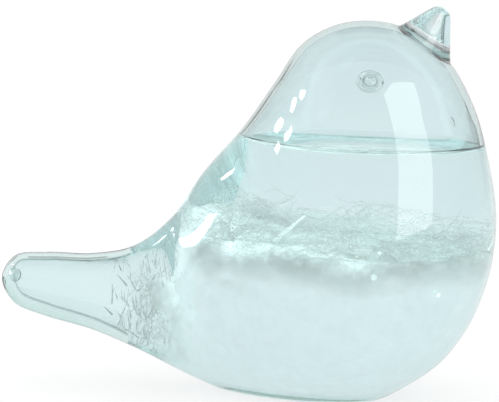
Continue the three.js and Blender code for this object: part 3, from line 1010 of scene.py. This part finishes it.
class Growth:
    """Collects needles and feathers, made from a few templates, in one bmesh."""

    bows = (0.0, 0.05, 0.12, -0.2)
    bowed_length = 0.0075  # the length of needle that has these bows
    barb_pairs = 7
    barb_slant = math.radians(52)

    def __init__(self, seed, thickness):
        self.draw = random.Random(seed)
        self.bm = bmesh.new()
        self.needles = [self._needle(bow, thickness) for bow in self.bows]
        self.feather = self._feather(thickness)

    @classmethod
    def _needle(cls, bow, thickness):
        """A thin closed rod of length 1 along Z, bent sideways by its bow."""
        bm = bmesh.new()
        add_spike(bm, Matrix.Translation((0, 0, 0.5)), tip=0.35)
        sides = [e for e in bm.edges if abs(e.verts[0].co.z - e.verts[1].co.z) > 0.5]
        bmesh.ops.subdivide_edges(bm, edges=sides, cuts=4)
        for vert in bm.verts:
            bend = 4 * vert.co.z * (1 - vert.co.z)
            vert.co.x += bow * bend / thickness * cls.bowed_length
        return packed_mesh("needle", bm)

    @classmethod
    def _feather(cls, thickness):
        """A rib with slanted barbs on both sides, like a fern."""
        bm = bmesh.new()
        rib = Matrix.Translation((0, 0, 0.5)) @ Matrix.Diagonal((thickness, thickness, 1, 1))
        add_spike(bm, rib, tip=0.3)
        for i in range(cls.barb_pairs):
            height = 0.12 + 0.11 * i
            length = 0.34 * (1 - 0.8 * abs(height - 0.35))
            for side in (-1, 1):
                turn = Matrix.Rotation(side * cls.barb_slant, 4, "Y")
                place = Matrix.Translation((0, 0, height)) @ turn
                place = place @ Matrix.Translation((0, 0, length / 2))
                barb = place @ Matrix.Diagonal((thickness * 0.7, thickness * 0.7, 1, 1))
                add_spike(bm, barb, tip=0, length=length, sides=3)
        bmesh.ops.remove_doubles(bm, verts=bm.verts, dist=1e-6)
        return packed_mesh("feather", bm)

    def _stand(self, mesh, root, direction, length, width):
        turn = Matrix.Rotation(self.draw.uniform(0, math.tau), 4, "Z")
        matrix = standing(direction, root) @ turn @ Matrix.Diagonal((width, width, length, 1))
        copy = mesh.copy()
        copy.transform(matrix)
        self.bm.from_mesh(copy)
        bpy.data.meshes.remove(copy)

    @staticmethod
    def _fits(root, direction, length, tip_gap, root_gap):
        """Whether both ends lie in the hollow, with their gaps to the glass."""
        tip = root + direction * length
        return Workshop.inside(tip, tip_gap) and Workshop.inside(root, root_gap)

    def needle(self, root, direction, length, radius):
        if self._fits(root, direction, length, tip_gap=0.0005, root_gap=0.0003):
            self._stand(self.draw.choice(self.needles), root, direction, length, radius)

    def rod(self, root, direction, length, radius):
        if self._fits(root, direction, length, tip_gap=0.0004, root_gap=0.0004):
            self._stand(self.needles[0], root, direction, length, radius)

    def fern(self, root, direction, length):
        if self._fits(root, direction, length, tip_gap=0.001, root_gap=0.0008):
            self._stand(self.feather, root, direction, length, length)

    def direction(self, low, high):
        turn = self.draw.uniform(0, math.tau)
        rise = math.radians(self.draw.uniform(low, high))
        level = math.cos(rise)
        return Vector((math.cos(turn) * level, math.sin(turn) * level, math.sin(rise)))

    def burst(self, centre, needles, ferns, reach, radius):
        """Needles and ferns that grow out of one spot."""
        for _ in range(needles):
            self.needle(centre, self.direction(5, 75), reach * self.draw.uniform(0.45, 1.0), radius)
        for _ in range(ferns):
            self.fern(centre, self.direction(15, 70), reach * self.draw.uniform(0.5, 0.9))

    def mat(self, middle, spread, count, heading, length, radius):
        """Hair-like needles that lie felted together, most of them along one heading."""
        draw = self.draw
        for _ in range(count):
            root = middle + Vector([draw.gauss(0, s) for s in spread])
            turn = heading + draw.gauss(0, 0.45) + (math.pi if draw.random() < 0.5 else 0)
            along = Vector((math.cos(turn), draw.gauss(0, 0.35), math.sin(turn))).normalized()
            self.needle(root, along, length * draw.uniform(0.35, 1), radius)

    def finish(self):
        for mesh in [*self.needles, self.feather]:
            bpy.data.meshes.remove(mesh)
        return self.bm


class WEATHERGLASS_OT_crystals(Operator):
    """Grow the feathers and needles on the settled camphor and in the tail root"""

    bl_idname = "weather_glass.crystals"
    bl_label = "Crystals"
    tuft_seed, root_seed, scatter_seed, hair_seed = 20, 40, 60, 80
    tuft_needles, tuft_ferns = 16, 6
    rods = 620
    rod_length, rod_radius = 0.0045, 0.00023
    rod_spots = ((-0.0425, 0.0055), (-0.003, 0.006), (0.018, 0.008))
    # Mats of hair: middle, spread, count, heading and length.
    mats = (
        ((0.033, -0.019, 0.0425), (0.004, 0.003, 0.0019), 150, 0.1, 0.009),
        ((0.037, -0.012, 0.0405), (0.003, 0.003, 0.0016), 60, 0.5, 0.006),
        ((-0.008, -0.024, 0.0435), (0.006, 0.004, 0.0016), 90, 0.45, 0.009),
        ((-0.018, -0.021, 0.0455), (0.005, 0.003, 0.0014), 60, -0.5, 0.006),
        ((0.011, -0.03, 0.041), (0.008, 0.003, 0.0016), 70, 0.2, 0.008),
    )
    leaf_rim, leaf_width, leaf_tilt = 0.065, 0.36, math.radians(16)
    leaf_rungs, rung_turn = (-0.5, -0.1, 0.3), math.radians(70)
    leaf_spokes = 36
    scatter_rise = (-0.006, 0.002)  # down and up from the bed's top

    def execute(self, context):
        sizes = context.scene.weather_glass.crystals
        material = camphor_needles(
            "camphor_needles", sizes.needle_colour, 0.85, sizes.needle_painted_light * 1.3,
        )
        tufts = sorted(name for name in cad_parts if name.startswith("tuft_"))
        for index, node in enumerate(tufts):
            low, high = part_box(node)
            growth = Growth(self.tuft_seed + index, sizes.thickness)
            centre = Vector(((low.x + high.x) / 2, (low.y + high.y) / 2, low.z + 0.001))
            reach = (high.z - low.z) * 1.05
            growth.burst(centre, self.tuft_needles, self.tuft_ferns, reach, sizes.thickness * 1.2)
            add_piece(f"feathers_{node}", growth.finish(), material, "crystal_needles", node)
        self.tail_root(sizes)
        self.scatter(sizes, material)
        self.hair(sizes)
        self.singles(sizes)
        return {"FINISHED"}

    @classmethod
    def tail_root(cls, sizes):
        growth = Growth(cls.root_seed, sizes.thickness)
        draw = growth.draw
        for _ in range(cls.rods):
            spot = Vector([draw.gauss(*along) for along in cls.rod_spots])
            direction = growth.direction(25, 88)
            length = cls.rod_length * draw.uniform(0.3, 1)
            growth.rod(spot, direction, length, cls.rod_radius * draw.uniform(0.6, 1.2))
        # Painted light: the rods glow more strongly than the needles.
        rods = camphor_needles("camphor_rods", sizes.needle_colour, 0.55, sizes.needle_painted_light * 1.9)
        node = "tail_root_crystals"
        add_piece("tail_root_feathers", growth.finish(), rods, "crystal_needles", node)

    @classmethod
    def scatter(cls, sizes, material):
        """Needles and ferns that lie loose all over the bed."""
        low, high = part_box("crystal_bed")
        middle, half = (low.x + high.x) / 2, (high.x - low.x) / 2
        growth = Growth(cls.scatter_seed, sizes.thickness)
        draw = growth.draw
        for index in range(sizes.needles + sizes.feathers):
            turn = draw.uniform(0, math.tau)
            reach = math.sqrt(draw.uniform(0.1, 1))
            place = Vector((
                middle + math.cos(turn) * reach * half,
                math.sin(turn) * reach * high.y,
                high.z + draw.uniform(*cls.scatter_rise),
            ))
            if index < sizes.needles:
                direction = growth.direction(-15, 40)
                length = sizes.needle * draw.uniform(0.4, 1)
                growth.needle(place, direction, length, sizes.thickness)
            else:
                direction = growth.direction(0, 50)
                growth.fern(place, direction, sizes.needle * draw.uniform(0.4, 0.8))
        add_piece("loose_feathers", growth.finish(), material, "crystal_needles")

    @classmethod
    def hair(cls, sizes):
        """Mats of fine dark hair by the chest, in the middle of the near side and at the back."""
        radius = sizes.thickness * 0.8
        growth = Growth(cls.hair_seed, radius)
        for middle, spread, count, heading, length in cls.mats:
            growth.mat(Vector(middle), spread, count, heading, length, radius)
        # Painted light: the hair glows a little more than the needles.
        material = camphor_needles(
            "camphor_hair", sizes.needle_colour, 0.75, sizes.needle_painted_light * 1.4,
        )
        add_piece("camphor_hair", growth.finish(), material, "crystal_needles")

    @classmethod
    def singles(cls, sizes):
        """The long spike, the curved one and the leaf that stand out on the near side."""
        # Painted light: the spikes and the leaf glow more strongly than the other needles.
        material = camphor_needles("bright_crystal", sizes.needle_colour, 0.85, 0.75)
        for name, node in (("long_spike", "long_needle"), ("curved_spike", "curved_needle")):
            add_piece(name, merged_node(node), material, "crystal_needles", node)
        low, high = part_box("leaf_crystal")
        size = (high.z - low.z) / 2
        bm = bmesh.new()
        made = bmesh.ops.create_circle(bm, segments=8, radius=cls.leaf_rim)["verts"]
        bmesh.ops.rotate(bm, verts=made, matrix=Matrix.Rotation(math.pi / 2, 3, "X"))
        bmesh.ops.translate(bm, verts=made, vec=(1, 0, 0))
        spin_round(bm, cls.leaf_spokes)
        for vert in bm.verts:
            point = abs(vert.co.x) / max(math.hypot(vert.co.x, vert.co.y), 1e-6)
            vert.co.x *= cls.leaf_width * math.sqrt(point) + 0.02
        for cross in cls.leaf_rungs:
            rung = Matrix.Translation((0, cross, 0)) @ Matrix.Rotation(cls.rung_turn, 4, "Y")
            add_spike(bm, rung, tip=0.03, foot=0.05, length=0.5)
        face_out(bm)
        bm.transform(
            Matrix.Translation((low + high) / 2)
            @ Matrix.Rotation(cls.leaf_tilt, 4, "Y")
            @ Matrix.Rotation(math.pi / 2, 4, "X")
            @ Matrix.Diagonal((size, size, size, 1))
        )
        add_piece("leaf_plate", bm, material, "crystal_needles", "leaf_crystal")


# Bubbles behind the near wall: how far along, how high, and how big.
BUBBLES = (
    (0.0134, 0.0364, 0.0008),
    (0.0146, 0.0425, 0.0005),
    (-0.0172, 0.0425, 0.00045),
    (-0.0175, 0.04, 0.0003),
    (0.03, 0.0314, 0.0004),
    (0.029, 0.0326, 0.00025),
    (0.0089, 0.0415, 0.0003),
)


class WEATHERGLASS_OT_drops(Operator):
    """Trap small bubbles at the near wall, and hang one drop of dew inside the head"""

    bl_idname = "weather_glass.drops"
    bl_label = "Bubbles and dew"
    dew_spot = (0.0368, 0, 0.0718)  # the dew hangs level with it on the far wall
    dew_radius, dew_height, dew_sunk = 0.0014, 0.00035, 0.0001
    steps, spokes = 10, 32
    wall_gap = 0.00005

    def execute(self, context):
        settings = context.scene.weather_glass
        bm = bmesh.new()
        for x, z, radius in BUBBLES:
            wall, normal, _, _ = Workshop.hollow.ray_cast(Vector((x, 0, z)), Vector((0, -1, 0)))
            add_lump(bm, wall - normal * (radius + self.wall_gap), radius)
        sizes = settings.crystals
        # Painted light: the bubbles take a pale glowing crystal material for their sparkle.
        material = camphor_needles("bubble_sparkle", sizes.needle_colour, 0.8, 0.8)
        add_piece("trapped_bubbles", bm, material, "crystal_needles")
        profile = [(0, -self.dew_sunk), (self.dew_radius, -self.dew_sunk)]
        for i in range(1, self.steps + 1):
            share = i / self.steps
            height = self.dew_height * math.sin(math.pi / 2 * share)
            profile.append((self.dew_radius * (1 - share), height))
        bm = turned(profile, self.spokes)
        spot = Vector(self.dew_spot)
        wall, normal, _, _ = Workshop.hollow.ray_cast(spot, Vector((0, 1, 0)))
        bm.transform(standing(-normal, wall))
        material = storm_solution("dew", settings.liquid, settings.shell.index)
        add_piece("dew_drop", bm, material, "storm_liquid")
        return {"FINISHED"}


# Cards round the bird: strength, distance and rungs. A rung is the azimuth and elevation, in
# degrees, of its two ends, seen from the middle of the bird, where azimuth 0 is towards the camera
# and 90 towards the chest. The bright cards are windows and a softbox that only gloss shows. The
# ones of a strength under 1 are dark flags that only rays through the glass show, for the dark
# lines inside its edges.
MIDDLE = Vector((0, 0, 0.05))
CARDS = (
    ("strip_softbox", 4.4, 2.0, (
        (33.8, 2.1, 57.3, 5.4), (34.6, 19.9, 58.6, 14.9), (36.4, 35.2, 62.6, 28.9),
        (36.5, 51.4, 65.5, 43.8), (37.4, 63.2, 73.0, 51.0), (55.1, 66.2, 80.4, 57.4),
    )),
    ("high_window", 12.0, 2.0, (
        (-110.4, 31.5, -104.0, 34.5), (-112.6, 31.6, -102.4, 38.0), (-113.4, 33.0, -104.2, 40.0),
    )),
    ("tall_window", 12.0, 2.0, (
        (-115.5, 25.4, -111.2, 26.4), (-119.0, 25.4, -111.2, 28.2), (-119.5, 26.6, -113.6, 29.4),
    )),
    ("low_window", 12.0, 2.0, (
        (-104.8, 25.1, -99.2, 25.1), (-105.4, 26.6, -100.4, 26.6),
    )),
    ("long_window", 16.0, 2.0, (
        (-104.0, 5.6, -100.0, 5.6), (-106.5, 8.5, -97.5, 8.5), (-104.5, 11.0, -95.0, 11.0),
        (-101.5, 14.0, -94.0, 14.0), (-100.0, 18.0, -96.5, 18.0),
    )),
    ("tail_flag", 0.02, 2.0, (
        (-150.0, 6.5, -164.5, 5.2), (-150.0, 10.0, -164.5, 10.0),
    )),
    ("tail_veil", 0.62, 2.1, (
        (-149.0, 1.0, -165.0, 1.0), (-149.0, 6.5, -165.0, 6.5),
    )),
    ("crown_flag", 0.5, 2.0, (
        (-166.0, 36.0, 166.0, 36.0), (-160.0, 52.0, 160.0, 52.0),
    )),
    ("chest_flag", 0.3, 2.0, (
        (146.0, 0.0, 134.0, 0.0), (146.0, 12.0, 134.0, 12.0),
    )),
)


def towards(azimuth, elevation):
    a, e = math.radians(azimuth), math.radians(elevation)
    return Vector((math.sin(a) * math.cos(e), -math.cos(a) * math.cos(e), math.sin(e)))


WHITE = (1, 1, 1, 1)
FLOOR_RADIUS = 6
FLOOR_SHADE = (0.36, 0.36, 0.36, 1)
FLOOR_GLOW = 0.72
ROOM_LIGHT = 0.9
OVERHEAD = (0.8, 0.98)  # how steeply a direction points where the ceiling darkens
CEILING_CHANGE = (0.1, -0.3)


class WEATHERGLASS_OT_stage(Operator):
    """Set the floor, the soft lights and the camera"""

    bl_idname = "weather_glass.stage"
    bl_label = "Stage"

    def execute(self, context):
        scene = context.scene
        sizes = scene.weather_glass.stage
        scene.view_settings.view_transform = "Standard"
        self.floor()
        self.sky(scene)
        self.softboxes()
        self.camera(scene, sizes)
        return {"FINISHED"}

    @staticmethod
    def floor():
        """A pale floor that camera, glass and gloss see nearly white."""
        bm = bmesh.new()
        bmesh.ops.create_circle(bm, cap_ends=True, segments=96, radius=FLOOR_RADIUS)
        tree = Tree(bpy.data.materials.new("pale_floor"))
        rays = tree.node("ShaderNodeLightPath")
        shown = rays.value("Is Transmission Ray").most(rays.value("Is Glossy Ray"))
        seen = rays.value("Is Camera Ray").most(shown)
        shade = tree.node("ShaderNodeBsdfDiffuse", {}, {"Color": FLOOR_SHADE}).value()
        sockets = {"Color": WHITE, "Strength": seen * FLOOR_GLOW}
        glow = tree.node("ShaderNodeEmission", {}, sockets).value()
        both = tree.node("ShaderNodeAddShader", {}, {0: shade, 1: glow}).value()
        material = tree.surface(both)
        placed_object("floor", packed_mesh("floor", bm, material))

    @staticmethod
    def sky(scene):
        """A white backdrop all round, darker overhead as the glass shows it."""
        world = bpy.data.worlds.new("white_room")
        scene.world = world
        tree = Tree(world)
        rays = tree.node("ShaderNodeLightPath")
        view = tree.node("ShaderNodeTexCoord").value("Generated")
        height = tree.part(view, "Z")
        ceiling = tree.span(height, *OVERHEAD, *CEILING_CHANGE)
        shown = rays.value("Is Transmission Ray").most(rays.value("Is Glossy Ray"))
        change = rays.value("Is Camera Ray") * (1 - ROOM_LIGHT) + shown * ceiling
        sockets = {"Color": WHITE, "Strength": change + ROOM_LIGHT}
        backdrop = tree.node("ShaderNodeBackground", {}, sockets).value()
        tree.node("ShaderNodeOutputWorld", {}, {"Surface": backdrop})

    @staticmethod
    def softboxes():
        """Bright cards for gloss and dark ones for the glass, from their corners' directions."""
        for name, glow, distance, rungs in CARDS:
            bm = bmesh.new()
            bmesh.ops.create_grid(bm, x_segments=1, y_segments=len(rungs) - 1, size=1)
            for vert in bm.verts:
                rung = rungs[round((vert.co.y + 1) / 2 * (len(rungs) - 1))]
                end = rung[2:] if vert.co.x > 0 else rung[:2]
                vert.co = MIDDLE + towards(*end) * distance
            tree = Tree(bpy.data.materials.new(f"{name}_glow"))
            sockets = {"Color": WHITE, "Strength": glow}
            material = tree.surface(tree.node("ShaderNodeEmission", {}, sockets).value())
            card = placed_object(name, packed_mesh(name, bm, material))
            card.visible_camera = False
            card.visible_diffuse = False
            card.visible_glossy = glow > 1
            card.visible_transmission = glow < 1
            card.visible_shadow = False

    @staticmethod
    def camera(scene, sizes):
        data = bpy.data.cameras.new("camera")
        camera = placed_object("camera", data)
        forward = Vector((0, math.cos(sizes.elevation), -math.sin(sizes.elevation)))
        camera.location = Vector(sizes.target) - forward * sizes.distance
        turn = forward.to_track_quat("-Z", "Y").to_matrix() @ Matrix.Rotation(sizes.roll, 3, "Z")
        camera.rotation_euler = turn.to_euler()
        data.lens = data.sensor_width * sizes.distance / sizes.view_width
        data.clip_end = 50
        scene.camera = camera


class WEATHERGLASS_PT_panel(Panel):
    bl_label = "Weather Glass"
    bl_idname = "WEATHERGLASS_PT_panel"
    bl_space_type = "VIEW_3D"
    bl_region_type = "UI"
    bl_category = "Weather Glass"

    def draw(self, context):
        settings = context.scene.weather_glass
        for operator, group in STEPS:
            self.layout.operator(operator.bl_idname)
            if group:
                sizes = getattr(settings, group)
                for name in sizes.__annotations__:
                    self.layout.prop(sizes, name)


STEPS = (
    (WEATHERGLASS_OT_shell, "shell"),
    (WEATHERGLASS_OT_beak, "beak"),
    (WEATHERGLASS_OT_eyes, "eyes"),
    (WEATHERGLASS_OT_tail_seal, "seal"),
    (WEATHERGLASS_OT_liquid, "liquid"),
    (WEATHERGLASS_OT_bed, None),
    (WEATHERGLASS_OT_crystals, "crystals"),
    (WEATHERGLASS_OT_drops, None),
    (WEATHERGLASS_OT_stage, "stage"),
)
CLASSES = (
    ShellSettings,
    BeakSettings,
    EyeSettings,
    SealSettings,
    LiquidSettings,
    CrystalSettings,
    StageSettings,
    WeatherGlassSettings,
    *(operator for operator, _ in STEPS),
    WEATHERGLASS_PT_panel,
)


def register():
    for cls in CLASSES:
        bpy.utils.register_class(cls)
    bpy.types.Scene.weather_glass = PointerProperty(type=WeatherGlassSettings)


def unregister():
    del bpy.types.Scene.weather_glass
    for cls in reversed(CLASSES):
        bpy.utils.unregister_class(cls)


def main():
    register()
    bpy.ops.weather_glass.shell()
    bpy.ops.weather_glass.beak()
    bpy.ops.weather_glass.eyes()
    bpy.ops.weather_glass.tail_seal()
    bpy.ops.weather_glass.liquid()
    bpy.ops.weather_glass.bed()
    bpy.ops.weather_glass.crystals()
    bpy.ops.weather_glass.drops()
    bpy.ops.weather_glass.stage()


if __name__ == "__main__":
    main()
